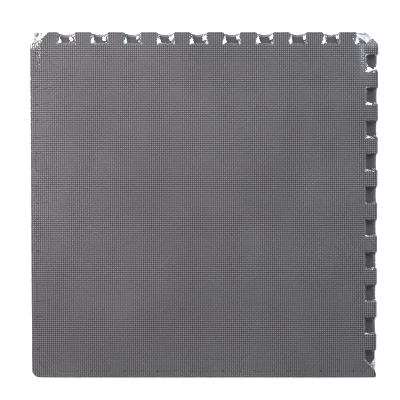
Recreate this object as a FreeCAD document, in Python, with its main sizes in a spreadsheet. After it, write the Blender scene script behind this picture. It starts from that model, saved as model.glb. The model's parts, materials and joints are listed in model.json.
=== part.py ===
"""A shrink-wrapped stack of 24 inch interlocking foam mats, used as blocking mats.

Six square mats lie on each other, alternately textured face up and face down.
Every mat has ten dovetail tabs on each of its four edges. Two edges are finished
by loose border strips, whose own tabs fill the mat's notches: the corner strip,
which wraps round the stack's rounded corner, and the edge strip. Two halves of
shrink film, welded together half way up, wrap the stack.

Frame: millimetres, +Z up. The origin is at the middle of the wrapped stack's
footprint, on the underside of the film. Each piece is drawn in plan about the
middle of the mat's square body, and its Placement then puts it into the stack.
"""

import FreeCAD, Part
import os
import re

import Sketcher
from FreeCAD import Placement, Rotation, Vector

MAT_COUNT = 6
TABS_PER_SIDE = 10
SIDES = 4
FULL_TURN = 360
HALF_TURN = 180
ON_LINE = 0.01        # how near to a line a corner must be to count as on it
START_RADIUS = 100    # of the circle that a sketch's lines start on
SHEET_NAME = "Dimensions"

DIMENSIONS = {
    "thickness": 12.7,      # half inch foam
    "pitch": 60.96,         # a tenth of the 24 inches that one mat covers
    "tab_length": 22.86,
    "tab_end": 34.29,       # width of a tab at its free end
    "tab_base": 26.67,      # width of a tab where it leaves the body
    "tab_radius": 4.0,
    "tab_root": 3.0,        # how far a tab's sketch reaches into what carries it
    "corner_offset": 3.81,  # from a corner of the body to the middle of its corner tab
    "spine": 10.3,          # width of a border strip behind its tabs
    "border_radius": 15.0,  # the rounded corner of the corner strip
    "end_radius": 4.0,      # the rounded end of the edge strip
    "fit_gap": 0.3,         # slack between a strip and its mat
    "film": 0.3,            # stands in for film of about 0.03
    "film_gap": 0.3,        # slack between the film and the edges of the foam
}

# Lengths that follow from the driving dimensions. The mat body's corners are at
# plus and minus half, its tabs end at tab_line, and the borders end at outer_line.
DERIVED = {
    "half": "(pitch * %d - tab_length) / 2" % TABS_PER_SIDE,
    "tab_line": "half + tab_length",
    "outer_line": "tab_line + spine",
    "slant_gap": "fit_gap * sqrt(2)",
    "to_middle": "spine / 2",
    "wrap": "film_gap + film",
    "film_tab_line": "tab_line + wrap",
    "film_outer_line": "outer_line + wrap",
    "stack": "thickness * %d" % MAT_COUNT,
    "film_half_height": "film + stack / 2",
}


def make_sheet(doc):
    """Write the driving dimensions, and the lengths that follow from them."""
    sheet = doc.addObject("Spreadsheet::Sheet", SHEET_NAME)
    cells = {name: str(value) for name, value in DIMENSIONS.items()}
    cells.update({name: "=" + rule for name, rule in DERIVED.items()})
    for row, (name, content) in enumerate(cells.items(), start=1):
        sheet.set("A%d" % row, name)
        sheet.set("B%d" % row, content)
        sheet.setAlias("B%d" % row, name)
    doc.recompute()
    return sheet


def formula(text):
    """Point the dimension names in a formula at the spreadsheet."""
    return re.sub(r"\b([a-z]\w*)", SHEET_NAME + r".\1", text)


def plane_of(body, role):
    return next(f for f in body.Origin.OriginFeatures if f.Role == role)


def outline_sketch(body, name, corners):
    """A closed outline of straight lines, each corner placed by two formulas.

    The lines start on a circle, and their constraints move them to their places.
    """
    sketch = body.newObject("Sketcher::SketchObject", name)
    sketch.AttachmentSupport = [(plane_of(body, "XY_Plane"), "")]
    sketch.MapMode = "FlatFace"
    count = len(corners)
    start = [Rotation(Vector(0, 0, 1), FULL_TURN * i / count).multVec(Vector(START_RADIUS, 0, 0))
             for i in range(count)]
    for i in range(count):
        sketch.addGeometry(Part.LineSegment(start[i], start[(i + 1) % count]))
    for i in range(count):
        sketch.addConstraint(Sketcher.Constraint("Coincident", i, 2, (i + 1) % count, 1))
    for i, corner in enumerate(corners):
        for kind, axis, start_value in zip(("DistanceX", "DistanceY"), corner, start[i][:2]):
            index = sketch.addConstraint(Sketcher.Constraint(kind, -1, 1, i, 1, start_value))
            sketch.renameConstraint(index, "%s_%d" % (kind, i))
            sketch.setExpression("Constraints.%s_%d" % (kind, i), formula(axis))
    return sketch


def pad(body, name, sketch, height):
    feature = body.newObject("PartDesign::Pad", name)
    feature.Profile = sketch
    feature.setExpression("Length", formula(height))
    body.Tip = feature
    return feature


def new_body(doc, label):
    body = doc.addObject("PartDesign::Body", label)
    body.Label = label
    return body


def linear_pattern(body, name, sketch, axis, backwards=False):
    """The regular tabs of one side, all but the corner tab."""
    pattern = body.newObject("PartDesign::LinearPattern", name)
    pattern.Direction = (sketch, [axis])
    pattern.Reversed = backwards
    pattern.Occurrences = TABS_PER_SIDE - 1
    pattern.setExpression("Length", formula("pitch * %d" % (TABS_PER_SIDE - 2)))
    return pattern


def polar_pattern(body, name, sketch):
    """The same on all four sides."""
    pattern = body.newObject("PartDesign::PolarPattern", name)
    pattern.Axis = (sketch, ["N_Axis"])
    pattern.Angle = FULL_TURN
    pattern.Occurrences = SIDES
    return pattern


def round_upright_edges(body, name, radius, chosen):
    """Round the vertical edges whose place in plan passes the test."""
    body.Document.recompute()
    base = body.Tip
    edges = []
    for number, edge in enumerate(base.Shape.Edges, start=1):
        first, last = edge.Vertexes[0].Point, edge.Vertexes[-1].Point
        upright = abs(first.x - last.x) < ON_LINE and abs(first.y - last.y) < ON_LINE
        if upright and chosen(first):
            edges.append("Edge%d" % number)
    if not edges:
        raise RuntimeError("%s found no edge to round" % name)
    fillet = body.newObject("PartDesign::Fillet", name)
    fillet.Base = (base, edges)
    fillet.setExpression("Radius", formula(radius))
    body.Tip = fillet
    return fillet


def near(value, target):
    return abs(value - target) < ON_LINE


def tab_outline(centre, root, base_line, end_line, slack):
    """A dovetail tab that points along +Y, as seen on the mat's far side."""
    base = "(tab_base / 2 - %s)" % slack
    end = "(tab_end / 2 - %s)" % slack
    return [
        (centre + " - " + base, root),
        (centre + " + " + base, root),
        (centre + " + " + base, base_line),
        (centre + " + " + end, end_line),
        (centre + " - " + end, end_line),
        (centre + " - " + base, base_line),
    ]


def swapped(corners):
    return [(y, x) for x, y in corners]


def make_mat(doc, sheet, label):
    """A square body with ten dovetail tabs on each side, the same in each quarter turn."""
    body = new_body(doc, label)
    square = [("-half", "-half"), ("half", "-half"), ("half", "half"), ("-half", "half")]
    pad(body, "Square", outline_sketch(body, "SquareOutline", square), "thickness")

    centre = "-half + corner_offset + pitch"
    regular = tab_outline(centre, "half - tab_root", "half", "tab_line", "0")
    tab_sketch = outline_sketch(body, "TabOutline", regular)
    tab = pad(body, "Tab", tab_sketch, "thickness")
    tabs = body.newObject("PartDesign::MultiTransform", "Tabs")
    row = linear_pattern(body, "TabRow", tab_sketch, "H_Axis")
    ring = polar_pattern(body, "TabRing", tab_sketch)
    tabs.Originals = [tab]
    tabs.Transformations = [row, ring]
    body.Tip = tabs

    corner = [
        ("-half", "half - tab_root"),
        ("-half", "half"),
        ("-half - tab_length / 2", "half + tab_length / 2"),
        ("-half", "tab_line"),
        ("-half + corner_offset + tab_end / 2", "tab_line"),
        ("-half + corner_offset + tab_base / 2", "half"),
        ("-half + corner_offset + tab_base / 2", "half - tab_root"),
    ]
    corner_sketch = outline_sketch(body, "CornerTabOutline", corner)
    corner_tab = pad(body, "CornerTab", corner_sketch, "thickness")
    corner_ring = polar_pattern(body, "CornerTabRing", corner_sketch)
    corner_ring.Originals = [corner_tab]
    body.Tip = corner_ring

    peak = sheet.half + sheet.tab_length / 2
    round_upright_edges(
        body, "TabEnds", "tab_radius",
        lambda p: near(max(abs(p.x), abs(p.y)), sheet.tab_line)
        or (near(abs(p.x), peak) and near(abs(p.y), peak)))
    return body


def make_corner_strip(doc, sheet, label):
    """The border along -X, which ends in the rounded corner and a mitred foot along -Y."""
    body = new_body(doc, label)
    inner = "-tab_line - fit_gap"
    tab_end_line = "-half - fit_gap"
    corner_tab = "half - corner_offset"
    outline = [
        ("-outer_line", "half"),
        ("-outer_line", "-outer_line"),
        ("-half + corner_offset + spine - slant_gap", "-outer_line"),
        ("-half + corner_offset + fit_gap - slant_gap", inner),
        ("-half + fit_gap - slant_gap", inner),
        (inner, "-half + fit_gap - slant_gap"),
        (inner, corner_tab + " - tab_base / 2 + fit_gap"),
        (tab_end_line, corner_tab + " - tab_end / 2 + fit_gap"),
        (tab_end_line, "half + fit_gap - slant_gap"),
        ("-half - (tab_length + slant_gap) / 2", "half + (tab_length - slant_gap) / 2"),
        ("-tab_line", "half"),
    ]
    pad(body, "Spine", outline_sketch(body, "SpineOutline", outline), "thickness")

    centre = "half - corner_offset - pitch"
    tab = tab_outline(centre, inner + " - tab_root", inner, tab_end_line, "fit_gap")
    tab_sketch = outline_sketch(body, "TabOutline", swapped(tab))
    tab_pad = pad(body, "Tab", tab_sketch, "thickness")
    tabs = linear_pattern(body, "Tabs", tab_sketch, "V_Axis", backwards=True)
    tabs.Originals = [tab_pad]
    body.Tip = tabs

    round_upright_edges(
        body, "RoundedCorner", "border_radius",
        lambda p: near(p.x, -sheet.outer_line) and near(p.y, -sheet.outer_line))
    return body


def make_edge_strip(doc, sheet, label):
    """The border along -Y, mitred against the corner strip, with a slanted far end."""
    body = new_body(doc, label)
    inner = "-tab_line - fit_gap"
    tab_end_line = "-half - fit_gap"
    corner_tab = "-half + corner_offset"
    outline = [
        (corner_tab, "-tab_line"),
        (corner_tab + " + spine", "-outer_line"),
        ("tab_line", "-outer_line"),
        ("tab_line", "-tab_line"),
        ("half + (tab_length + slant_gap) / 2", "-half - (tab_length + slant_gap) / 2"),
        ("half + slant_gap - fit_gap", inner),
        (corner_tab + " + tab_base / 2 - fit_gap", inner),
        (corner_tab + " + tab_end / 2 - fit_gap", tab_end_line),
        ("-half + slant_gap - fit_gap", tab_end_line),
        ("-half - (tab_length - slant_gap) / 2", "-half - (tab_length + slant_gap) / 2"),
        ("-half", "-tab_line"),
    ]
    pad(body, "Spine", outline_sketch(body, "SpineOutline", outline), "thickness")

    centre = corner_tab + " + pitch"
    tab = tab_outline(centre, inner + " - tab_root", inner, tab_end_line, "fit_gap")
    tab_sketch = outline_sketch(body, "TabOutline", tab)
    tab_pad = pad(body, "Tab", tab_sketch, "thickness")
    tabs = linear_pattern(body, "Tabs", tab_sketch, "H_Axis")
    tabs.Originals = [tab_pad]
    body.Tip = tabs

    round_upright_edges(
        body, "RoundedEnd", "end_radius",
        lambda p: near(p.x, sheet.tab_line))
    return body


def make_film_half(doc, sheet, label):
    """A shallow tray of film, open upwards, that reaches half way up the stack."""
    body = new_body(doc, label)
    outline = [
        ("-film_outer_line", "-film_outer_line"),
        ("film_tab_line", "-film_outer_line"),
        ("film_tab_line", "half + wrap"),
        ("half + wrap", "film_tab_line"),
        ("-film_outer_line", "film_tab_line"),
    ]
    block = pad(body, "Block", outline_sketch(body, "FilmOutline", outline), "film_half_height")
    round_upright_edges(
        body, "RoundedCorner", "border_radius + wrap",
        lambda p: near(p.x, -sheet.film_outer_line) and near(p.y, -sheet.film_outer_line))
    doc.recompute()
    base = body.Tip
    top = next("Face%d" % number for number, face in enumerate(base.Shape.Faces, start=1)
               if near(face.BoundBox.ZMin, block.Shape.BoundBox.ZMax))
    tray = body.newObject("PartDesign::Thickness", "Tray")
    tray.Base = (base, [top])
    tray.Reversed = True
    tray.Join = "Intersection"
    tray.setExpression("Value", formula("film"))
    body.Tip = tray
    return body


def place(body, height, turned_over=False):
    """Move a piece to its height, and turn it over about the plan's diagonal if asked.

    The borders make the footprint wider on two sides, so its middle is off the bodies'.
    """
    turn = Rotation(Vector(1, 1, 0), HALF_TURN) if turned_over else Rotation()
    body.Placement = Placement(Vector(0, 0, 0), turn)
    body.setExpression("Placement.Base.x", formula("to_middle"))
    body.setExpression("Placement.Base.y", formula("to_middle"))
    body.setExpression("Placement.Base.z", formula(height))


def make_layer(doc, sheet, number):
    """A mat and its two strips. Mat 1 lies at the bottom, and the even mats lie face up."""
    pieces = [
        make_mat(doc, sheet, "mat_%d" % number),
        make_corner_strip(doc, sheet, "corner_strip_%d" % number),
        make_edge_strip(doc, sheet, "edge_strip_%d" % number),
    ]
    face_down = number % 2 == 1
    origin_level = number if face_down else number - 1
    for piece in pieces:
        place(piece, "film + thickness * %d" % origin_level, turned_over=face_down)
    return pieces


def make_stack(doc, sheet):
    pieces = []
    for number in range(1, MAT_COUNT + 1):
        pieces += make_layer(doc, sheet, number)
    lower = make_film_half(doc, sheet, "lower_film")
    upper = make_film_half(doc, sheet, "upper_film")
    place(lower, "0")
    place(upper, "film * 2 + stack", turned_over=True)
    return pieces + [lower, upper]


def check(doc, pieces):
    """Stop if any object failed, or a piece isn't one valid closed solid."""
    doc.recompute()
    for item in doc.Objects:
        if "Invalid" in item.State or "Error" in item.State:
            raise RuntimeError("%s is %s" % (item.Label, item.State))
    for piece in pieces:
        shape = piece.Shape
        if shape.isNull() or not shape.isValid() or len(shape.Solids) != 1:
            raise RuntimeError("%s isn't one valid solid" % piece.Label)


def main():
    doc = FreeCAD.newDocument("BlockingMats")
    sheet = make_sheet(doc)
    pieces = make_stack(doc, sheet)
    check(doc, pieces)
    os.makedirs("parts", exist_ok=True)
    for piece in pieces:
        piece.Shape.exportStep("parts/%s.step" % piece.Label)
        print(piece.Label, "volume %.0f" % piece.Shape.Volume, piece.Shape.BoundBox)


main()
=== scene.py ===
"""A shrink-wrapped stack of interlocking foam mats, seen from above on a white table.

Every foam piece is cut from one woven-grain sheet: a square lattice of oval grains
that lie across and along in turn. A piece's plan is a set of convex parts in cells
of that lattice, (0, 0) being the lower left corner of the mat's square body. The
shrink film is drawn over the stack, sinks into each notch and is welded half way up.
"""

import json
import math

import bpy
import numpy as np
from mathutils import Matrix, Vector, geometry, kdtree


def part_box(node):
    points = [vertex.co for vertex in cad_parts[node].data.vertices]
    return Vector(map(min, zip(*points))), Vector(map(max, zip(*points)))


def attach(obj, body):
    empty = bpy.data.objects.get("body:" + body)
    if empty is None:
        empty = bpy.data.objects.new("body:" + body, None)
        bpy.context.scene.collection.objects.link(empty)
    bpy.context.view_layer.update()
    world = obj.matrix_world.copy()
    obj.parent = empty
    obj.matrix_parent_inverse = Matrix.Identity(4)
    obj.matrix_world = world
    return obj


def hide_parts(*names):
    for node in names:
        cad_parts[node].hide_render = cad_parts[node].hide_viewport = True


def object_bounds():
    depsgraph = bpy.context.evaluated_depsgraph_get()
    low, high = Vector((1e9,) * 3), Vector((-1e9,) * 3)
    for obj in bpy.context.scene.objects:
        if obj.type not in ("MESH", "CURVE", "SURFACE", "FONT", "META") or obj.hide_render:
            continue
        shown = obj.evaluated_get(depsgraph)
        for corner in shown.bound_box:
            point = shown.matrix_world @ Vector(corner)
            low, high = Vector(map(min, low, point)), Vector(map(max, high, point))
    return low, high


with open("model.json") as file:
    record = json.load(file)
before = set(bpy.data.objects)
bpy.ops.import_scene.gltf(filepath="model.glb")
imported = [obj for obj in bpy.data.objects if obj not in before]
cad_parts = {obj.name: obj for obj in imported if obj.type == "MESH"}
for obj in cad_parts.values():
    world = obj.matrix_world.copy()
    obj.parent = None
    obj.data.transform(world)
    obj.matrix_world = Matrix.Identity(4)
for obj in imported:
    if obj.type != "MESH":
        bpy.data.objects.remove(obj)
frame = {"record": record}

cad_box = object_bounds()

# ---------------------------------------------------------------- sizes from the frame

MM = 0.001
LAYERS = 6
TABS = 10
GRAINS_PER_PITCH = 16
BODY = 154             # the mat body's side, in cells
REACH = 6              # a tab's length, in cells
HALF_BASE, HALF_END = 3.5, 4.5     # half a tab's width at its root and at its end
CORNER = 1             # from a body corner to the middle of its corner tab

mat_low, mat_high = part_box("mat_6")
CELL = (mat_high.x - mat_low.x) / (BODY + 2 * REACH)
THICK = mat_high.z - mat_low.z
ORIGIN = Vector((mat_low.x, mat_low.y)) + Vector((REACH, REACH)) * CELL
STACK_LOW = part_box("mat_1")[0].z
STACK_TOP = mat_high.z
SPINE = (mat_low.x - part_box("corner_strip_6")[0].x) / CELL
SLACK = (mat_low.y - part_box("edge_strip_6")[1].y) / CELL + REACH
FIT = 0.3 * SLACK      # what the tight film leaves of the slack beside a strip
SLANT = FIT * math.sqrt(2)     # and what it leaves at a mitre, along the edge


def in_cells(length):
    return length / CELL


TAB_RADIUS = in_cells(4 * MM)
PEAK_RADIUS = in_cells(3 * MM)
CORNER_RADIUS = in_cells(15 * MM)      # the stack's lower left corner


def smooth(t):
    """0 below 0 and 1 above 1, with a soft step between."""
    t = np.clip(t, 0, 1)
    return t * t * (3 - 2 * t)


# ---------------------------------------------------------------- plans, in cells


def rounded(corners, radii, steps=5):
    """A convex polygon with some corners replaced by arcs: radii maps a corner's index."""
    points = []
    count = len(corners)
    for i, corner in enumerate(corners):
        here = Vector(corner)
        radius = radii.get(i, 0)
        if not radius:
            points.append(tuple(here))
            continue
        before = (Vector(corners[i - 1]) - here).normalized()
        after = (Vector(corners[(i + 1) % count]) - here).normalized()
        half_angle = before.angle(after) / 2
        middle = here + (before + after).normalized() * radius / math.sin(half_angle)
        start = here + before * radius / math.tan(half_angle) - middle
        turn = math.pi - 2 * half_angle
        for step in range(steps + 1):
            angle = turn * step / steps
            c, s = math.cos(angle), math.sin(angle)
            points.append((middle.x + start.x * c - start.y * s,
                           middle.y + start.x * s + start.y * c))
    return points


def quarter_turns(part):
    """The part and its copies on the other three sides of the mat's body."""
    copies = [part]
    for _ in range(3):
        copies.append([(BODY - y, x) for x, y in copies[-1]])
    return copies


def mat_parts():
    """The forty tabs, as convex parts. The square body is filled on its own."""
    parts = []
    for k in range(1, TABS):
        c = CORNER + GRAINS_PER_PITCH * k
        tab = [(c - HALF_BASE, BODY), (c + HALF_BASE, BODY),
               (c + HALF_END, BODY + REACH), (c - HALF_END, BODY + REACH)]
        parts += quarter_turns(rounded(tab, {2: TAB_RADIUS, 3: TAB_RADIUS}))
    corner = [(0, BODY), (CORNER + HALF_BASE, BODY), (CORNER + HALF_END, BODY + REACH),
              (0, BODY + REACH), (-REACH / 2, BODY + REACH / 2)]
    parts += quarter_turns(rounded(corner, {2: TAB_RADIUS, 3: TAB_RADIUS, 4: PEAK_RADIUS}))
    return parts


def corner_strip_parts():
    """The strip on the left: its foot round the corner, the corner, the spine, its end, the tabs."""
    inner = -REACH - FIT
    outer = -REACH - SPINE
    web = FIT - SLANT
    top = BODY - FIT
    parts = [
        [(web, outer), (CORNER + SPINE - SLANT, outer), (CORNER + web, inner), (web, inner)],
        rounded([(outer, web), (outer, outer), (web, outer), (web, inner), (inner, web)],
                {1: CORNER_RADIUS}, steps=10),
        [(outer, web), (inner, web), (inner, top), (outer, top)],
        [(inner, BODY - CORNER - HALF_BASE + FIT), (-FIT, BODY - CORNER - HALF_END + FIT),
         (-FIT, BODY + web), (-(REACH + SLANT) / 2, BODY + (REACH - SLANT) / 2), (inner, top)],
    ]
    for k in range(1, TABS):
        c = BODY - CORNER - GRAINS_PER_PITCH * k
        parts.append([(inner, c - HALF_BASE + FIT), (-FIT, c - HALF_END + FIT),
                      (-FIT, c + HALF_END - FIT), (inner, c + HALF_BASE - FIT)])
    return parts


def edge_strip_parts():
    """The strip along the bottom: its mitred start, the spine, its slanted end, the tabs."""
    inner = -REACH - FIT
    outer = -REACH - SPINE
    web = SLANT - FIT
    end = BODY + REACH
    foot = BODY + web
    parts = [
        [((SLANT - REACH) / 2, -(REACH + SLANT) / 2), (FIT, inner),
         (CORNER + HALF_BASE - FIT, inner), (CORNER + HALF_END - FIT, -FIT), (web, -FIT)],
        [(CORNER + FIT, inner), (CORNER + SPINE, outer), (foot, outer), (foot, inner)],
        rounded([(foot, outer), (end, outer), (end, -REACH),
                 (BODY + (REACH + SLANT) / 2, -(REACH + SLANT) / 2), (foot, inner)],
                {1: TAB_RADIUS, 2: TAB_RADIUS}),
    ]
    for k in range(1, TABS):
        c = CORNER + GRAINS_PER_PITCH * k
        parts.append([(c - HALF_BASE + FIT, inner), (c + HALF_BASE - FIT, inner),
                      (c + HALF_END - FIT, -FIT), (c - HALF_END + FIT, -FIT)])
    return parts


# ---------------------------------------------------------------- the woven grain

GRAIN_DEPTH = 0.6 * MM
RIDGE = 0.24            # half the length of a grain's ridge, in cells
EDGE_ROLL = 0.3 * MM    # radius of the soft edges
SKIN_TONE = 0.45        # how light the smooth back is between a pit and a ridge
EDGE_TONE = 0.46        # and how light the soft edge of the face
LAYER_GAP = 0.02 * MM   # so that two layers that lie on each other don't share a face
SAME_PLACE = 1 / 2000   # in cells: corners of faces that are closer than this become one


def grain(i, j):
    """One oval grain as a hipped roof: four faces over a cell, lying across or along."""
    a, b, c, d = (i, j, 0), (i + 1, j, 0), (i + 1, j + 1, 0), (i, j + 1, 0)
    x, y = i + 0.5, j + 0.5
    if (i + j) % 2:
        low, high = (x, y - RIDGE, 1), (x, y + RIDGE, 1)
        return [(a, b, low), (b, c, high, low), (c, d, high), (d, a, low, high)]
    low, high = (x - RIDGE, y, 1), (x + RIDGE, y, 1)
    return [(a, b, high, low), (b, c, high), (c, d, low, high), (d, a, low)]


def clip(face, part):
    """The share of a face inside a convex part. Heights are carried along."""
    count = len(part)
    for k in range(count):
        (ax, ay), (bx, by) = part[k], part[(k + 1) % count]
        ex, ey = bx - ax, by - ay
        sides = [ex * (p[1] - ay) - ey * (p[0] - ax) for p in face]
        if min(sides) >= -1e-9:
            continue
        kept = []
        for n, p in enumerate(face):
            q, sp, sq = face[n - len(face) + 1], sides[n], sides[n - len(face) + 1]
            if sp >= 0:
                kept.append(p)
            if sp * sq < 0:
                t = sp / (sp - sq)
                kept.append(tuple(u + (v - u) * t for u, v in zip(p, q)))
        face = kept
        if len(face) < 3:
            return None
    return face


def part_faces(part):
    """The grains of every cell that a convex part touches, cut to the part."""
    xs, ys = [p[0] for p in part], [p[1] for p in part]
    faces = []
    for i in range(math.floor(min(xs)), math.ceil(max(xs))):
        for j in range(math.floor(min(ys)), math.ceil(max(ys))):
            faces += [clip(face, part) for face in grain(i, j)]
    return [face for face in faces if face]


def weld(faces):
    """Faces as lists of corner numbers, and the corners, each place stored once."""
    numbers, points, welded = {}, [], []
    for face in faces:
        ring = []
        for p in face:
            key = (round(p[0] / SAME_PLACE), round(p[1] / SAME_PLACE))
            if key not in numbers:
                numbers[key] = len(points)
                points.append(p)
            if not ring or ring[-1] != numbers[key]:
                ring.append(numbers[key])
        if ring[0] == ring[-1]:
            ring.pop()
        if len(ring) > 2:
            welded.append(ring)
    return welded, points


def open_edges(faces):
    """The edges that only one face has, as pairs of corner numbers, with that face's number."""
    edges = {}
    for n, ring in enumerate(faces):
        for a, b in zip(ring, ring[1:] + ring[:1]):
            if (b, a) in edges:
                del edges[b, a]
            else:
                edges[a, b] = n
    return edges


def close_seams(faces, points):
    """Where a part's corner lies in the middle of a neighbour's edge, add it to that edge."""
    edges = open_edges(faces)
    ends = sorted({v for edge in edges for v in edge})
    places = np.array([points[v][:2] for v in ends])
    for (a, b), n in edges.items():
        start, along = np.array(points[a][:2]), np.subtract(points[b][:2], points[a][:2])
        length = np.hypot(*along)
        offset = places - start
        t = offset @ along / length ** 2
        aside = np.abs(offset @ np.array([-along[1], along[0]])) / length
        inside = np.nonzero((aside < 1e-3) & (t * length > 2e-3) & ((1 - t) * length > 2e-3))[0]
        if len(inside):
            ring = faces[n]
            between = [ends[m] for m in inside[np.argsort(t[inside])]]
            ring[ring.index(a) + 1:ring.index(a) + 1] = between
    return faces


def outline_loops(faces):
    """The closed rings of open edges, as lists of corner numbers."""
    following = {a: b for a, b in open_edges(faces)}
    loops = []
    while following:
        first = here = next(iter(following))
        loop = []
        while here in following:
            loop.append(here)
            here = following.pop(here)
        if here == first and len(loop) > 8:
            loops.append(loop)
    return loops


def outward(places):
    """At each point of a loop, the step that moves both its edges out by one."""
    edges = np.roll(places, -1, axis=0) - places
    normals = np.stack([edges[:, 1], -edges[:, 0]], axis=1)
    normals /= np.linalg.norm(normals, axis=1)[:, None]
    before = np.roll(normals, 1, axis=0)
    cosine = np.clip((before * normals).sum(1), -0.75, 1)
    return (before + normals) / (1 + cosine)[:, None]


def drawn_in(ring, steps, radius):
    """The outline moved in by the radius. The points that a sharp corner passes join it.

    The steps are the outline's outward steps, one for each point.
    """
    inner = ring - steps * radius
    count = len(ring)
    after = np.roll(ring, -1, axis=0) - ring
    before = np.roll(after, 1, axis=0)
    convex = before[:, 0] * after[:, 1] - before[:, 1] * after[:, 0] > 0
    shift = radius * np.sqrt(np.maximum((steps ** 2).sum(1) - 1, 0)) * convex
    for n in sorted(np.nonzero(shift > 1e-3)[0], key=lambda n: shift[n]):
        for way in (1, -1):
            m = (n + way) % count
            while math.dist(ring[m], ring[n]) < shift[n]:
                inner[m] = inner[n]
                m = (m + way) % count
    return inner


def make_room(places, loop, steps, radius):
    """Move everything within two radii of the outline inwards, to leave room for the soft edge.

    The points of the outline itself move by the whole radius, and the others by less.
    """
    ring = places[loop]
    tree = kdtree.KDTree(len(ring))
    for n, (x, y) in enumerate(ring):
        tree.insert((x, y, 0), n)
    tree.balance()
    on_outline = set(loop)
    moved = places.copy()
    for v, (x, y) in enumerate(places):
        if v in on_outline:
            continue
        _, near, gap = tree.find((x, y, 0))
        longest_edge = 1
        if gap > 2 * radius + longest_edge:
            continue
        best, pull = 2 * radius, None
        for a in (near - 2, near - 1, near, (near + 1) % len(ring)):
            start, along = ring[a], ring[(a + 1) % len(ring)] - ring[a]
            t = min(max(((x, y) - start) @ along / max(along @ along, 1e-12), 0), 1)
            away = np.array((x, y)) - start - along * t
            distance = math.hypot(*away)
            if 1e-6 < distance < best:
                best, pull = distance, away / distance
        if pull is not None:
            moved[v] += pull * (radius - best / 2)
    moved[loop] = drawn_in(ring, steps, radius)
    return moved


def fill_outline(loop, places):
    """Triangles that fill an outline, facing down."""
    ring = [Vector(place) for place in places]
    count = len(ring)
    edges = [(n, (n + 1) % count) for n in range(count)]
    _, _, triangles, sources, _, _ = geometry.delaunay_2d_cdt(ring, edges, [], 1, 1e-7)
    back = [sources[v][0] for v in range(len(sources))]
    return [[loop[back[v]] for v in reversed(triangle)] for triangle in triangles]


def foam_mesh(name, parts, with_body=False):
    """The textured face, soft edges, cut sides and smooth back of one foam piece."""
    faces = [face for part in parts for face in part_faces(part)]
    if with_body:
        faces += [face for i in range(BODY) for j in range(BODY) for face in grain(i, j)]
    faces, points = weld(faces)
    faces = close_seams(faces, points)
    loop = max(outline_loops(faces), key=len)
    places = np.array([p[:2] for p in points])
    relief = np.array([p[2] for p in points])
    ring = places[loop]
    places = make_room(places, loop, outward(ring), in_cells(EDGE_ROLL))
    face_z = THICK - GRAIN_DEPTH * (1 - relief)

    # rings of the side, as (how far out, height), down to the smooth back
    half = math.sqrt(0.5)
    low = THICK - GRAIN_DEPTH
    rings = [(half * EDGE_ROLL, low - EDGE_ROLL * (1 - half)), (EDGE_ROLL, low - EDGE_ROLL),
             (EDGE_ROLL, EDGE_ROLL), (half * EDGE_ROLL, EDGE_ROLL * (1 - half)), (0, 0)]
    inner = places[loop]
    stack = [np.column_stack([inner + (ring - inner) * out / EDGE_ROLL, np.full(len(loop), z)])
             for out, z in rings]
    plan = np.vstack([places] + [ring[:, :2] for ring in stack]) * CELL + np.array(ORIGIN)
    height = np.concatenate([face_z] + [ring[:, 2] for ring in stack])
    height = LAYER_GAP + height * (THICK - 2 * LAYER_GAP) / THICK
    vertices = np.column_stack([plan, height])

    count = len(loop)
    ids = [np.array(loop)] + [len(places) + count * n + np.arange(count) for n in range(len(rings))]
    for upper, lower in zip(ids, ids[1:]):
        after_upper, after_lower = np.roll(upper, -1), np.roll(lower, -1)
        faces += np.column_stack([upper, lower, after_lower, after_upper]).tolist()
    skin = fill_outline(ids[-1], stack[-1][:, :2])
    faces += skin

    mesh = bpy.data.meshes.new(name)
    mesh.from_pydata(vertices.tolist(), [], faces)
    grain_height = mesh.attributes.new("grain", "FLOAT", "POINT")
    edge_tones = [EDGE_TONE] * 2 + [SKIN_TONE] * (len(rings) - 2)
    values = np.concatenate([relief, np.repeat(edge_tones, count)])
    grain_height.data.foreach_set("value", values.astype(np.float32))
    mesh.polygons.foreach_set("use_smooth", [True] * (len(faces) - len(skin)) + [False] * len(skin))
    mesh.update()
    return mesh


# ---------------------------------------------------------------- foam pieces

RIGHT, FAR = 0, 1               # the two tabbed sides, which face +X and +Y
DRAW_IN = 2.4 * MM, 5.3 * MM    # how far the tight film presses in the lower mats' bare tabs there
TOP_DRAW_IN = 0.3 * MM          # and the top mat's
TAB_BOW = 0.55                  # how much less a tab's corners are pressed in than its middle
CORNER_SLANT = 2 * BODY - 0.5   # where the upper right corner starts, as the sum of a place's two
                                # coordinates in cells
CORNER_PRESS = 0.75             # by what share of the way beyond that the corner is pressed in
LOOSE_END_DRAW = 1.7    # in cells, how far the slim strip ends at the upper left are pressed in
LOOSE_END_BEND = 0.35   # and how steeply they are bent down


def tab_bow(along):
    """How much of the pressing in each place along a side gets: most in the middle of each tab."""
    half_pitch = GRAINS_PER_PITCH / 2
    from_tab = np.abs((along - CORNER + half_pitch / 2) % half_pitch - half_pitch / 2)
    return 1 - TAB_BOW * np.clip(from_tab / HALF_END, 0, 1) ** 2


def turned_over(places, height):
    """Turn places over about the plan's diagonal, and lift them to a height."""
    x, y, z = places.T
    return np.column_stack([y - ORIGIN.y + ORIGIN.x, x - ORIGIN.x + ORIGIN.y, height - z])


def press_tabs(places, depth, corner_press):
    """Press in the ends of the bare tabs, most in the middle of each; depth is for x and for y.

    The tight film also presses in the upper right corner, by a share of what lies beyond a slant.
    """
    edge = BODY * CELL
    beyond = ((places[:, 0] - ORIGIN.x + places[:, 1] - ORIGIN.y) / CELL - CORNER_SLANT) / 2
    places[:, :2] -= (corner_press * CELL * np.maximum(beyond, 0))[:, None]
    for across, along in ((RIGHT, FAR), (FAR, RIGHT)):
        reach = (places[:, across] - ORIGIN[across] - edge) / (REACH * CELL)
        position = (places[:, along] - ORIGIN[along]) / CELL
        inside = np.clip(reach, 0, 1) ** 2
        places[:, across] -= depth[across] * tab_bow(position) * inside
    return places


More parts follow.
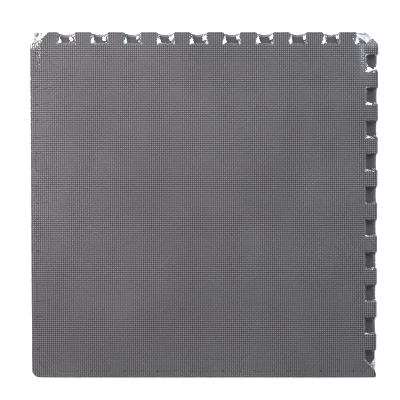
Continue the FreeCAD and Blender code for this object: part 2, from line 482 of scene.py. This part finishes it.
def beyond_corner(u, v):
    """How far a place at the upper left is beyond the top mat's corner tab and strip, in cells."""
    return np.where(u < -REACH, v - BODY, (v - BODY - (u + REACH)) / math.sqrt(2)) * (u < 0)


def loose_end_draw(u, v):
    """How far the tight film draws in the loose strip ends at the upper left, in cells."""
    return LOOSE_END_DRAW * smooth((v - BODY + 0.5) / 2) * smooth((-REACH / 2 - u) / 4)


def press_loose_end(places, bend):
    """Press in and bend down the slim end of a turned strip, which nothing supports."""
    u, v = ((places[:, :2] - np.array(ORIGIN)) / CELL).T
    places[:, 0] += loose_end_draw(u, v) * CELL
    places[:, 2] -= bend * CELL * np.maximum(beyond_corner(u, v), 0)
    return places


def add_piece(name, mesh, material, body, node):
    """Link a mesh that stands for a CAD node and rides on its body."""
    piece = bpy.data.objects.new(name, mesh)
    bpy.context.scene.collection.objects.link(piece)
    mesh.materials.append(material)
    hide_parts(node)
    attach(piece, body)
    return piece


def body_with(node):
    """The body that a CAD node belongs to."""
    bodies = frame["record"]["behaviour"]["bodies"]
    return next(body for body, nodes in bodies.items() if node in nodes)


def lay_foam(kind, pattern, material):
    """Copies of one foam piece, one to a layer, face down on the odd layers."""
    count = len(pattern.vertices)
    flat = np.zeros(count * 3)
    pattern.vertices.foreach_get("co", flat)
    for layer in range(1, LAYERS + 1):
        node = "%s_%d" % (kind, layer)
        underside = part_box(node)[0].z
        mesh = pattern.copy()
        mesh.name = node
        places = flat.reshape(-1, 3).copy()
        if layer % 2:
            places = turned_over(places, underside + THICK)
        else:
            places[:, 2] += underside
        if kind == "mat":
            top = layer == LAYERS
            depth = (TOP_DRAW_IN, TOP_DRAW_IN) if top else DRAW_IN
            places = press_tabs(places, depth, 0 if top else CORNER_PRESS)
        if kind == "edge_strip" and layer % 2:
            places = press_loose_end(places, LOOSE_END_BEND if layer > 1 else 0)
        mesh.vertices.foreach_set("co", places.ravel())
        mesh.update()
        piece = add_piece(node + "_foam", mesh, material, body_with(node), node)


# ---------------------------------------------------------------- material helpers


class Nodes:
    """A short way to write a material's node tree."""

    def __init__(self, name):
        self.material = bpy.data.materials.new(name)
        self.material.use_nodes = True
        self.tree = self.material.node_tree
        self.tree.nodes.clear()

    def add(self, kind, inputs=None, **settings):
        node = self.tree.nodes.new(kind)
        for key, value in settings.items():
            setattr(node, key, value)
        for key, value in (inputs or {}).items():
            if isinstance(value, bpy.types.NodeSocket):
                self.tree.links.new(value, node.inputs[key])
            else:
                node.inputs[key].default_value = value
        return node

    def math(self, operation, first, second=0.0, clamp=False):
        node = self.add("ShaderNodeMath", {0: first, 1: second}, operation=operation)
        node.use_clamp = clamp
        return node.outputs[0]

    def ramp(self, factor, stops):
        node = self.add("ShaderNodeValToRGB", {"Fac": factor})
        elements = node.color_ramp.elements
        while len(elements) < len(stops):
            elements.new(0.5)
        for element, (position, colour) in zip(elements, stops):
            element.position = position
            element.color = (*colour, 1)
        return node.outputs["Color"]

    def blend(self, factor, first, second, how="MIX"):
        node = self.add("ShaderNodeMix", data_type="RGBA", blend_type=how)
        for socket, value in ((0, factor), (6, first), (7, second)):
            if isinstance(value, bpy.types.NodeSocket):
                self.tree.links.new(value, node.inputs[socket])
            elif socket:
                node.inputs[socket].default_value = (*value, 1)
            else:
                node.inputs[socket].default_value = value
        return node.outputs[2]

    def finish(self, shader):
        output = self.add("ShaderNodeOutputMaterial")
        self.tree.links.new(shader.outputs[0], output.inputs["Surface"])
        return self.material


def foam_material(name, painted_pit_shade, ridge):
    """Closed-cell foam: grains with painted shade in the pits between them and ridges whose tone is
    partly a painted highlight, a skinned back, and pitted cut sides whose pores darken to the same
    painted shade.
    """
    n = Nodes(name)
    place = n.add("ShaderNodeTexCoord").outputs["Object"]
    relief = n.add("ShaderNodeAttribute", attribute_name="grain").outputs["Fac"]
    facing = n.add("ShaderNodeSeparateXYZ", {0: n.add("ShaderNodeNewGeometry").outputs["True Normal"]})
    upright = n.math("ABSOLUTE", facing.outputs["Z"])
    is_side = n.math("LESS_THAN", upright, 0.5)

    mottle = n.add("ShaderNodeTexNoise", {"Vector": place, "Scale": 9.0, "Detail": 3.0})
    speckle = n.add("ShaderNodeTexNoise", {"Vector": place, "Scale": 420.0, "Detail": 2.0})
    cells = n.add("ShaderNodeTexVoronoi", {"Vector": place, "Scale": 900.0})

    # the grains' height picks the colour: the pits get a nearly black painted shade, and the ridges a
    # lighter tone that is partly a painted highlight
    face = n.ramp(relief, [(0.0, painted_pit_shade), (0.38, painted_pit_shade), (0.62, ridge), (1.0, ridge)])
    # the cut sides' pores darken to the same painted shade
    pores = n.ramp(cells.outputs["Distance"], [(0.0, tuple(c * 1.25 for c in ridge)), (0.8, painted_pit_shade)])
    colour = n.blend(is_side, face, pores)
    shade = n.ramp(mottle.outputs["Fac"], [(0.3, (0.9, 0.9, 0.9)), (0.7, (1.08, 1.08, 1.08))])
    colour = n.blend(1.0, colour, shade, "MULTIPLY")
    fine = n.ramp(speckle.outputs["Fac"], [(0.3, (0.9, 0.9, 0.9)), (0.7, (1.1, 1.1, 1.1))])
    colour = n.blend(1.0, colour, fine, "MULTIPLY")

    rough = n.math("ADD", n.math("MULTIPLY", speckle.outputs["Fac"], 0.2), 0.42)
    pits = n.math("MULTIPLY", cells.outputs["Distance"], is_side)
    height = n.math("ADD", n.math("MULTIPLY", speckle.outputs["Fac"], 0.5), pits)
    bump = n.add("ShaderNodeBump", {"Strength": 0.35, "Distance": 0.0003, "Height": height})
    shader = n.add("ShaderNodeBsdfPrincipled", {
        "Base Color": colour, "Roughness": rough, "Normal": bump.outputs[0],
        "Specular IOR Level": 0.3, "Sheen Weight": 0.05, "Sheen Roughness": 0.5})
    return n.finish(shader)


# ---------------------------------------------------------------- shrink film

FILM_CLEAR = 0.1 * MM   # between the film and what it lies on
EDGE_GAP = in_cells(0.3 * MM)
FILM_OUTER = REACH + SPINE + EDGE_GAP    # how far it lies below and left of the mat's body
FILM_TAB = BODY + REACH + EDGE_GAP       # where it lies on the tabbed sides
WELD_Z = (STACK_LOW + STACK_TOP) / 2
LIP = 2.4 * MM          # the weld's flange
SIDE_ROWS = 9
FINE_STEP, COARSE_STEP = 0.3, 1.4   # the grid's steps, in cells
PRESS = 12              # how much deeper the grains show through where the film is tightest
MOUTH_DRAW = 2.6 * MM, 5.0 * MM     # how far it is drawn in between two tabs, right and far
MOUTH_ROLL = 7.0 * MM, 5.5 * MM     # how far inside the mouth it turns down
MOUTH_SLOPE = 0.45, 1.9             # and how steeply
MOUTH_BEND = 1.2 * MM               # and how softly
POCKET = 3.2 * MM       # how deep it hangs in the notch at the lower right
FACET_LENGTH = 5.2      # in cells, the length of the flat facet at a notch's left or lower end
SHORT_FACET = 2.8       # and of the one in the lowest notch on the right
FOLD = 0.3 * MM         # how soft the folds in a notch are
WALL_SLOPE = 2.5        # how steeply it falls at the root of a notch
END_SLOPE = 0.42        # the slope of the small facet at a notch's right or upper end
END_WALL = 3.0          # and how much steeper the film falls beyond that facet
CORNER_WALL = 1.6       # how steeply it falls beside a corner tab or a slanted strip end
TOUCH = 0.4 * MM        # a film that has dropped this far no longer touches the grain
FIRST_FAR_NOTCH = CORNER + GRAINS_PER_PITCH / 2
FIRST_RIGHT_NOTCH = BODY - FIRST_FAR_NOTCH - GRAINS_PER_PITCH * (TABS - 2)


def soft_min(*heights):
    """The lowest of several surfaces, with soft folds between them."""
    limit = 0.1     # in metres, far beyond any real drop, so that no power overflows
    total = sum(np.exp(-np.clip(height, -limit, limit) / FOLD) for height in heights)
    return np.maximum(-FOLD * np.log(total), 0)


def roll_down(to_mouth, side):
    """The drop where the film turns down over a notch's mouth, from the distance to that mouth."""
    along = np.clip(MOUTH_ROLL[side] - to_mouth, 0, MOUTH_ROLL[side])
    return MOUTH_SLOPE[side] * along ** 2 / (along + MOUTH_BEND)


def notch_number(along, first):
    """The number of the nearest notch, from the first one's place on."""
    number = np.round((along - first) / GRAINS_PER_PITCH)
    return np.clip(number, 0, TABS - 2)


def pockets(along, out, first, side, slopes, out_slope, widths, lengths):
    """The film's drop in the notches of one tabbed side, from its place along and out of the side.

    From each notch's inner left corner a flat facet falls along the side and outwards. It is
    widest at the root, and slopes, widths and lengths give its slope and size in the first and the
    last notch. The right end has a small facet too, and the floor falls to the mouth and rolls
    over it. The sines make each notch a little different.
    """
    number = notch_number(along, first)
    s = along - first - GRAINS_PER_PITCH * number      # from the notch's middle
    t = np.clip(out, 0, REACH)                         # from its root
    half_width = GRAINS_PER_PITCH / 2 - HALF_BASE - t / REACH * (HALF_END - HALF_BASE)
    from_left, from_right = half_width + s, half_width - s

    rank = number / (TABS - 2)
    late = rank ** 5
    slope = slopes[0] + (slopes[1] - slopes[0]) * rank
    width = (widths[0] + (widths[1] - widths[0]) * late) * (1 + 0.12 * np.sin(number * 2.4))
    length = lengths[0] + (lengths[1] - lengths[0]) * late
    fall = (out_slope + slope / REACH) * t
    left = slope * from_left + fall
    floor = slope * width * (1 - t / length) + fall

    end_size = (0.6 + 0.35 * np.sin(number * 1.7 + 1)) * (1 - 0.5 * rank)
    end_facet = 0.15 + end_size * np.exp(-((t - REACH / 2) / 1.3) ** 2)
    right = END_SLOPE * from_right + END_WALL * np.maximum(from_right - end_facet, 0)

    drop = soft_min(left * CELL, np.maximum(right, 0) * CELL, WALL_SLOPE * t * CELL,
                    np.maximum(floor, 0.4) * CELL + roll_down((REACH - t) * CELL, side))
    return np.where((np.abs(s) < half_width) & (out > 0), drop, 0)


def upper_right_pocket(u, v):
    """The corner notch, open towards the slanted corner of the film."""
    along_slope, out_slope = 0.25, 0.3
    step = 0.5      # in cells, the floor's drop at the root
    t = v - BODY
    from_tab = u - (BODY - CORNER - HALF_BASE - 1) - t / REACH
    from_corner_tab = np.where(u > BODY, (v - u) / math.sqrt(2), t)
    to_mouth = (2 * BODY + REACH - u - v) / math.sqrt(2) * CELL
    floor = step * (1 - t / FACET_LENGTH) + out_slope * t
    drop = soft_min((along_slope * from_tab + out_slope * t) * CELL, WALL_SLOPE * t * CELL,
                    CORNER_WALL * from_corner_tab * CELL, floor * CELL + roll_down(to_mouth, FAR))
    return np.where((t > 0) & (from_tab > 0) & (from_corner_tab > 0), drop, 0)


def lower_right_pocket(u, v):
    """The notch between the lowest tab and the slanted end of the edge strip."""
    tab_wall, root_wall = 1.4, 1.8
    t = u - BODY
    from_tab = (CORNER + HALF_BASE + 1 - t / REACH - v) * CELL
    from_strip = np.where(v < 0, (v + t) / math.sqrt(2), t) * CELL
    drop = soft_min(tab_wall * from_tab, root_wall * t * CELL, CORNER_WALL * from_strip,
                    POCKET + roll_down((REACH - t) * CELL, RIGHT))
    return np.where((t > 0) & (from_tab > 0) & (from_strip > 0), drop, 0)


def upper_left_slope(u, v):
    """The crumpled film beyond the corner tab, which lies on the lower mats' strip ends."""
    crease_depth = 0.4 * MM
    beyond = np.maximum(beyond_corner(u, v), 0) * CELL
    slope = soft_min(0.9 * beyond, 6 * MM + 0.5 * beyond)
    creases = np.sin((u - v) * 1.9 + 1.2 * np.sin((u + v) * 0.5)) * smooth(beyond / (4 * MM))
    return np.where(beyond > 0, slope + crease_depth * creases, 0)


def between_tabs(along, first):
    """1 in the middle of each notch and 0 beside it; first is one notch's place."""
    from_notch = (along - first + GRAINS_PER_PITCH / 2) % GRAINS_PER_PITCH - GRAINS_PER_PITCH / 2
    inside = (along > CORNER) & (along < BODY - CORNER)
    return np.where(inside, np.clip(1 - (from_notch / HALF_BASE) ** 2, 0, 1), 0)


def film_inset(along, z, first, side):
    """How far the film on a tabbed side is drawn in, in metres, at a place and height.

    It clings to the tabs of each layer and bellies in between them, and the tabs of one layer lie
    beside the gaps of the next. The level is counted in layers, down from the stack's top.
    """
    level = np.clip((STACK_TOP - z) / THICK, 0, LAYERS - 0.001)
    layer = np.floor(level)
    belly = np.sin(math.pi * (level - layer)) ** 2
    belly = np.where(np.minimum(level, LAYERS - level) < 0.5, 1, belly)
    gap = np.where(layer % 2 == 0, between_tabs(along, first),
                   between_tabs(along, first + GRAINS_PER_PITCH / 2))
    press = TOP_DRAW_IN + (DRAW_IN[side] - TOP_DRAW_IN) * smooth((level - 0.8) / 0.3)
    return press * tab_bow(along) + (MOUTH_DRAW[side] - press) * gap * belly


def round_off(u, v, corner, size, straightness):
    """Bend the square corner of a plan to an arc, or with straightness to a chamfer.

    The corner is given as the place where the bend starts and the signs of its two directions.
    """
    (cu, cv), (du, dv) = corner
    a, b = (u - cu) * du / size, (v - cv) * dv / size
    inside = (a > 0) & (b > 0)
    a, b = np.where(inside, a, 0), np.where(inside, b, 0)
    arc_a = a * np.sqrt(np.maximum(1 - b * b / 2, 0))
    arc_b = b * np.sqrt(np.maximum(1 - a * a / 2, 0))
    scale = np.maximum(a, b) / np.maximum(a + b, 1e-9)
    new_a = arc_a + (a * scale - arc_a) * straightness
    new_b = arc_b + (b * scale - arc_b) * straightness
    return (np.where(inside, cu + new_a * size * du, u),
            np.where(inside, cv + new_b * size * dv, v))


def film_plan(u, v, z):
    """Where a point of the film lies in plan, in cells, from its place on the square sheet."""
    far = in_cells(film_inset(u, z, FIRST_FAR_NOTCH, FAR)) * smooth((v - BODY) / REACH)
    right = in_cells(film_inset(v, z, FIRST_RIGHT_NOTCH, RIGHT)) * smooth((u - BODY) / REACH)
    middle = CORNER_RADIUS - FILM_OUTER
    loose = loose_end_draw(u, v)
    u, v = round_off(u, v, ((middle, middle), (-1, -1)), CORNER_RADIUS, 0.0)
    u, v = round_off(u, v, ((BODY, BODY), (1, 1)), FILM_TAB - BODY, 0.85)
    return u - right + loose, v - far


def film_lines(low, high, folds, fine_zones):
    """Grid lines from low to high, closer together in the fine zones and at the notches' ends.

    The folds say where those ends lie in each pitch.
    """
    lines = [low]
    while lines[-1] < high - FINE_STEP / 2:
        here = lines[-1]
        in_pitch = here % GRAINS_PER_PITCH
        at_fold = any(a <= in_pitch < b for a, b in folds) and CORNER < here < BODY - CORNER
        in_zone = any(a <= here < b for a, b in fine_zones)
        lines.append(here + (FINE_STEP if at_fold or in_zone else COARSE_STEP))
    return np.array(lines[:-1] + [high])


def ripples(u, v):
    """The height of the film's long shallow ripples."""
    height = 0.15 * MM
    across = np.sin(u * 0.31 + 1.9 * np.sin(v * 0.11))
    along = np.sin(v * 0.27 + 1.1 * np.sin(u * 0.13))
    return height * (1 + across * along)


def spots(u, v, places):
    """The strongest of several soft round spots, each given as a place, a size and a strength."""
    amount = np.zeros(u.shape)
    for x, y, size, strength in places:
        amount = np.maximum(amount, strength * np.exp(-((u - x) ** 2 + (v - y) ** 2) / size ** 2))
    return amount


def film_haze_and_shade(u, v):
    """Where the film lets less light through at the two right corners: partly doubled or slack film,
    and partly painted shade for the shaded table seen below it.
    """
    return spots(u, v, [(BODY - 1.2, BODY + 4.6, 3.8, 1.0), (BODY + 3.3, -2.2, 1.5, 0.7)])


def creased(u, v):
    """Where the film has fine creases: at the upper left."""
    return spots(u, v, [(-5.8, BODY + 4.0, 3.8, 1.0), (0.5, BODY + 4.5, 3.0, 0.3)])


def pressed(u, v):
    """How much harder the film is pressed on the grains: most at the two tight upper corners.

    From each of these corners a band of it runs down the side and fades out.
    """
    band = 0.85 * np.exp(-((u - BODY + 1.9) / 2.6) ** 2) * smooth((v - BODY + 38) / 32)
    left_band = 0.3 * np.exp(-((u + REACH - 1.8) / 1.4) ** 2) * smooth((v - BODY + 20) / 14)
    places = [(BODY + 2.5, BODY + 1.0, 4.5, 1.0), (BODY + 1.5, BODY - 18, 4.0, 0.6),
              (-REACH - 0.5, BODY - 0.8, 2.4, 0.5)]
    return PRESS * np.maximum(np.maximum(band, left_band), spots(u, v, places))


def border_of(columns, rows):
    """The columns and the rows of the places round the border of a grid, in order."""
    low, right = [(i, 0) for i in range(columns)], [(columns - 1, j) for j in range(1, rows)]
    high = [(i, rows - 1) for i in range(columns - 2, -1, -1)]
    left = [(0, j) for j in range(rows - 2, 0, -1)]
    return np.array(low + right + high + left).T


def half_plan(u, v, z, turned):
    """film_plan for a point of one half of the film. The lower half is still to be turned over."""
    if not turned:
        return film_plan(u, v, z)
    v, u = film_plan(v, u, STACK_LOW + STACK_TOP - z)
    return u, v


def film_drop(u, v, turned):
    """How far the film hangs below the stack's top at each place of the sheet."""
    drop = pockets(u, v - BODY, FIRST_FAR_NOTCH, FAR, slopes=(0.43, 0.25), out_slope=0.25,
                   widths=(2.8, 2.5), lengths=(FACET_LENGTH, FACET_LENGTH))
    drop += pockets(v, u - BODY, FIRST_RIGHT_NOTCH, RIGHT, slopes=(0.95, 0.28), out_slope=0.2,
                    widths=(0.8, 3.8), lengths=(SHORT_FACET, FACET_LENGTH))
    drop += upper_right_pocket(u, v) + lower_right_pocket(u, v)
    if not turned:
        drop += upper_left_slope(u, v)
    return drop


def side_steps(edge_z):
    """The rings down a side to the welded flange, as (how far out in edge radii, heights).

    The sheet's edge is given as its height at each place round it.
    """
    start = edge_z - EDGE_ROLL
    bend, middle, rim = WELD_Z + 0.4 * MM, WELD_Z + 0.12 * MM, WELD_Z + 0.05 * MM
    steps = [(math.sqrt(0.5), edge_z - EDGE_ROLL * (1 - math.sqrt(0.5)))]
    for n in range(SIDE_ROWS):
        steps.append((1.0, start + (bend - start) * n / (SIDE_ROWS - 1)))
    flat = np.ones(len(edge_z))
    steps.append((1.0 + 0.3 * LIP / EDGE_ROLL, flat * middle))
    steps.append((1.0 + LIP / EDGE_ROLL, flat * rim))
    return steps


def film_surface(turned):
    """The places, faces and marks of one half of the film: a grid over the face, and the sides."""
    roll = in_cells(EDGE_ROLL)
    low, high = roll - FILM_OUTER, FILM_TAB - roll
    far_folds, right_folds = [(4.2, 6.9), (11.6, 13.8)], [(12.2, 14.9), (3.6, 5.8)]
    xs = film_lines(low, high, far_folds, [(low, 0), (BODY - 6, high)])
    ys = film_lines(low, high, right_folds, [(BODY - 5, high), (-4, 0)])
    u, v = np.meshgrid(xs, ys, indexing="ij")
    x, y = half_plan(u, v, np.full(u.shape, STACK_TOP), turned)
    drop = film_drop(u, v, turned)
    z = STACK_TOP + FILM_CLEAR + ripples(x, y) - drop

    columns, rows = u.shape
    ri, rj = border_of(columns, rows)
    out_u = np.where(ri == 0, -1, np.where(ri == columns - 1, 1, 0))
    out_v = np.where(rj == 0, -1, np.where(rj == rows - 1, 1, 0))
    steps = side_steps(z[ri, rj])
    points = [np.column_stack([x.ravel(), y.ravel(), z.ravel()])]
    for out, height in steps:
        moved_u, moved_v = u[ri, rj] + out_u * roll * out, v[ri, rj] + out_v * roll * out
        a, b = half_plan(moved_u, moved_v, height, turned)
        points.append(np.column_stack([a, b, height]))

    grid = np.arange(columns * rows).reshape(columns, rows)
    faces = np.stack([grid[:-1, :-1], grid[1:, :-1], grid[1:, 1:], grid[:-1, 1:]], -1)
    faces = faces.reshape(-1, 4).tolist()
    upper = grid[ri, rj]
    for n in range(len(steps)):
        lower = columns * rows + n * len(ri) + np.arange(len(ri))
        faces += np.column_stack([upper, lower, np.roll(lower, -1), np.roll(upper, -1)]).tolist()
        upper = lower
    places = np.vstack(points)
    touch = smooth(1 - drop / TOUCH) * (1 + pressed(x, y))
    # the haze mark is partly doubled film and partly painted shade for the table below
    marks = {"film_haze_and_shade": film_haze_and_shade(places[:, 0], places[:, 1]), "creased": creased(places[:, 0], places[:, 1]),
             "touch": np.concatenate([touch.ravel(), np.zeros(len(places) - touch.size)])}
    places[:, :2] = places[:, :2] * CELL + np.array(ORIGIN)
    return places, faces, marks


def film_material():
    """Clear film: what it doesn't reflect passes through, and it reflects more at a slant."""
    n = Nodes("shrink_film")
    place = n.add("ShaderNodeTexCoord").outputs["Object"]
    haze_and_shade_here = n.add("ShaderNodeAttribute", attribute_name="film_haze_and_shade").outputs["Fac"]
    creased_here = n.add("ShaderNodeAttribute", attribute_name="creased").outputs["Fac"]
    touching = n.add("ShaderNodeAttribute", attribute_name="touch").outputs["Fac"]
    facing = n.add("ShaderNodeLayerWeight", {"Blend": 0.5}).outputs["Facing"]
    slant = n.math("POWER", facing, 4.0)
    mirror = n.math("ADD", n.math("MULTIPLY", slant, 0.85), 0.091)
    mirror = n.math("ADD", mirror, n.math("MULTIPLY", touching, 0.006))
    mirror = n.math("ADD", mirror, n.math("MULTIPLY", creased_here, 0.45), clamp=True)

    waves = n.add("ShaderNodeTexNoise", {"Vector": place, "Scale": 60.0, "Detail": 2.0})
    # the grains' own lattice, which presses through where the film touches them
    xyz = n.add("ShaderNodeSeparateXYZ", {0: place}).outputs
    across = n.math("SINE", n.math("MULTIPLY", n.math("SUBTRACT", xyz[0], ORIGIN.x), math.pi / CELL))
    along = n.math("SINE", n.math("MULTIPLY", n.math("SUBTRACT", xyz[1], ORIGIN.y), math.pi / CELL))
    grains = n.math("ABSOLUTE", n.math("MULTIPLY", across, along))
    creases = n.add("ShaderNodeTexWave", {
        "Vector": place, "Scale": 85.0, "Distortion": 2.5, "Detail": 2.0, "Detail Scale": 1.5},
        bands_direction="DIAGONAL")
    pressed = n.math("MULTIPLY", n.math("MULTIPLY", grains, touching), 0.1)
    height = n.math("ADD", pressed, n.math("MULTIPLY", waves.outputs["Fac"], 0.3))
    folds = n.math("MULTIPLY", creases.outputs["Fac"], n.math("MULTIPLY", creased_here, 1.2))
    height = n.math("ADD", height, folds)
    bump = n.add("ShaderNodeBump", {"Strength": 1.0, "Distance": 0.00045, "Height": height})
    rough = n.math("ADD", n.math("MULTIPLY", waves.outputs["Fac"], 0.1), 0.08)
    rough = n.math("ADD", rough, n.math("MULTIPLY", touching, 0.0095))
    rough = n.math("ADD", rough, n.math("MULTIPLY", haze_and_shade_here, 0.25))
    # what shows through darkens at the two right corners: partly doubled film, partly painted shade
    # standing for the table's shadow below
    through = n.ramp(haze_and_shade_here, [(0.0, (0.98, 0.98, 0.985)), (1.0, (0.42, 0.42, 0.41))])
    clear = n.add("ShaderNodeBsdfTransparent", {"Color": through})
    gloss = n.add("ShaderNodeBsdfPrincipled", {
        "Base Color": (0.97, 0.97, 1.0, 1), "Metallic": 1.0, "Roughness": rough,
        "Normal": bump.outputs[0]})
    mixed = n.add("ShaderNodeMixShader", {0: mirror, 1: clear.outputs[0], 2: gloss.outputs[0]})
    return n.finish(mixed)


def make_film():
    """The upper half, and the lower one, which is built the same way and turned over."""
    material = film_material()
    for node, rests_on, turned in (("upper_film", "mat_6_foam", False),
                                   ("lower_film", "mat_1_foam", True)):
        places, faces, marks = film_surface(turned)
        if turned:
            places = turned_over(places, STACK_LOW + STACK_TOP)
        mesh = bpy.data.meshes.new(node)
        mesh.from_pydata(places.tolist(), [], faces)
        mesh.polygons.foreach_set("use_smooth", [True] * len(faces))
        for mark, values in marks.items():
            attribute = mesh.attributes.new(mark, "FLOAT", "POINT")
            attribute.data.foreach_set("value", values.astype(np.float32))
        mesh.update()
        piece = add_piece(node + "_sheet", mesh, material, body_with(node), node)


# ---------------------------------------------------------------- stage


def make_floor():
    """A white light table, so that no shadow shows, just below the film."""
    gap = 0.4 * MM
    bpy.ops.mesh.primitive_plane_add(size=6.0, location=(0, 0, cad_box[0].z - gap))
    floor = bpy.context.object
    floor.name = "table"
    n = Nodes("white_table")
    shader = n.add("ShaderNodeBsdfPrincipled", {
        "Base Color": (0.9, 0.9, 0.9, 1), "Roughness": 0.8,
        "Emission Color": (1, 1, 1, 1), "Emission Strength": 0.75})
    floor.data.materials.append(n.finish(shader))


def area_light(name, place, size, power, colour):
    """A softbox that points at the stack."""
    data = bpy.data.lights.new(name, "AREA")
    data.shape = "RECTANGLE"
    data.size, data.size_y = size
    data.energy = power
    data.color = colour
    light = bpy.data.objects.new(name, data)
    light.location = place
    light.rotation_euler = (-Vector(place)).to_track_quat("-Z", "Y").to_euler()
    bpy.context.scene.collection.objects.link(light)


def make_lights():
    """Soft lights for the film's glints, and surroundings that darken from the horizon upwards."""
    area_light("strip_softbox", (1.25, 1.25, 1.6), (1.8, 0.5), 44, (0.84, 0.91, 1.0))
    area_light("key_softbox", (-0.95, 0.35, 1.0), (0.7, 0.7), 18, (1.0, 0.97, 0.94))
    area_light("back_panel", (-1.2, 1.2, 1.06), (1.0, 1.0), 6, (1.0, 1.0, 1.0))
    world = bpy.data.worlds.new("studio")
    world.use_nodes = True
    tree = world.node_tree
    direction = tree.nodes.new("ShaderNodeTexCoord")
    height = tree.nodes.new("ShaderNodeSeparateXYZ")
    shade = tree.nodes.new("ShaderNodeValToRGB")
    tree.links.new(direction.outputs["Generated"], height.inputs[0])
    tree.links.new(height.outputs["Z"], shade.inputs["Fac"])
    tree.links.new(shade.outputs["Color"], tree.nodes["Background"].inputs["Color"])
    horizon, overhead = shade.color_ramp.elements
    horizon.position = 0.2
    horizon.color = (1.0, 1.0, 1.0, 1)
    overhead.position = 0.6
    overhead.color = (0.13, 0.134, 0.14, 1)
    tree.nodes["Background"].inputs["Strength"].default_value = 1.2
    bpy.context.scene.world = world


def make_camera():
    """Nearly straight above, a little beyond the stack's far half, with +Y up in the picture."""
    distance = 3.4
    view_width = 0.7412     # what the picture takes in, at the stack's top
    tilt = math.radians(4.13)
    target = Vector((-7.7 * MM, 10.8 * MM, STACK_TOP))
    data = bpy.data.cameras.new("camera")
    data.sensor_width = 36
    data.lens = data.sensor_width * distance / view_width
    data.clip_start, data.clip_end = 0.05, 50
    camera = bpy.data.objects.new("camera", data)
    camera.location = target + Vector((0, math.sin(tilt), math.cos(tilt))) * distance
    camera.rotation_euler = (-tilt, 0, 0)
    bpy.context.scene.collection.objects.link(camera)
    bpy.context.scene.camera = camera


def make_foam():
    """The mats and their border strips, in two slightly different batches of foam."""
    # each foam's first colour is painted shade for the pits between the grains, and the second is the
    # grains' tone lifted by a painted highlight
    mat_foam = foam_material("mat_foam", (0.01, 0.009, 0.01), (0.305, 0.29, 0.3))
    border_foam = foam_material("border_foam", (0.01, 0.009, 0.01), (0.315, 0.3, 0.31))
    lay_foam("mat", foam_mesh("mat_pattern", mat_parts(), with_body=True), mat_foam)
    lay_foam("corner_strip", foam_mesh("corner_strip_pattern", corner_strip_parts()),
             border_foam)
    lay_foam("edge_strip", foam_mesh("edge_strip_pattern", edge_strip_parts()),
             border_foam)


# ---------------------------------------------------------------- the scene

make_floor()
make_camera()
make_lights()
make_foam()
make_film()
bpy.context.scene.view_settings.view_transform = "Standard"
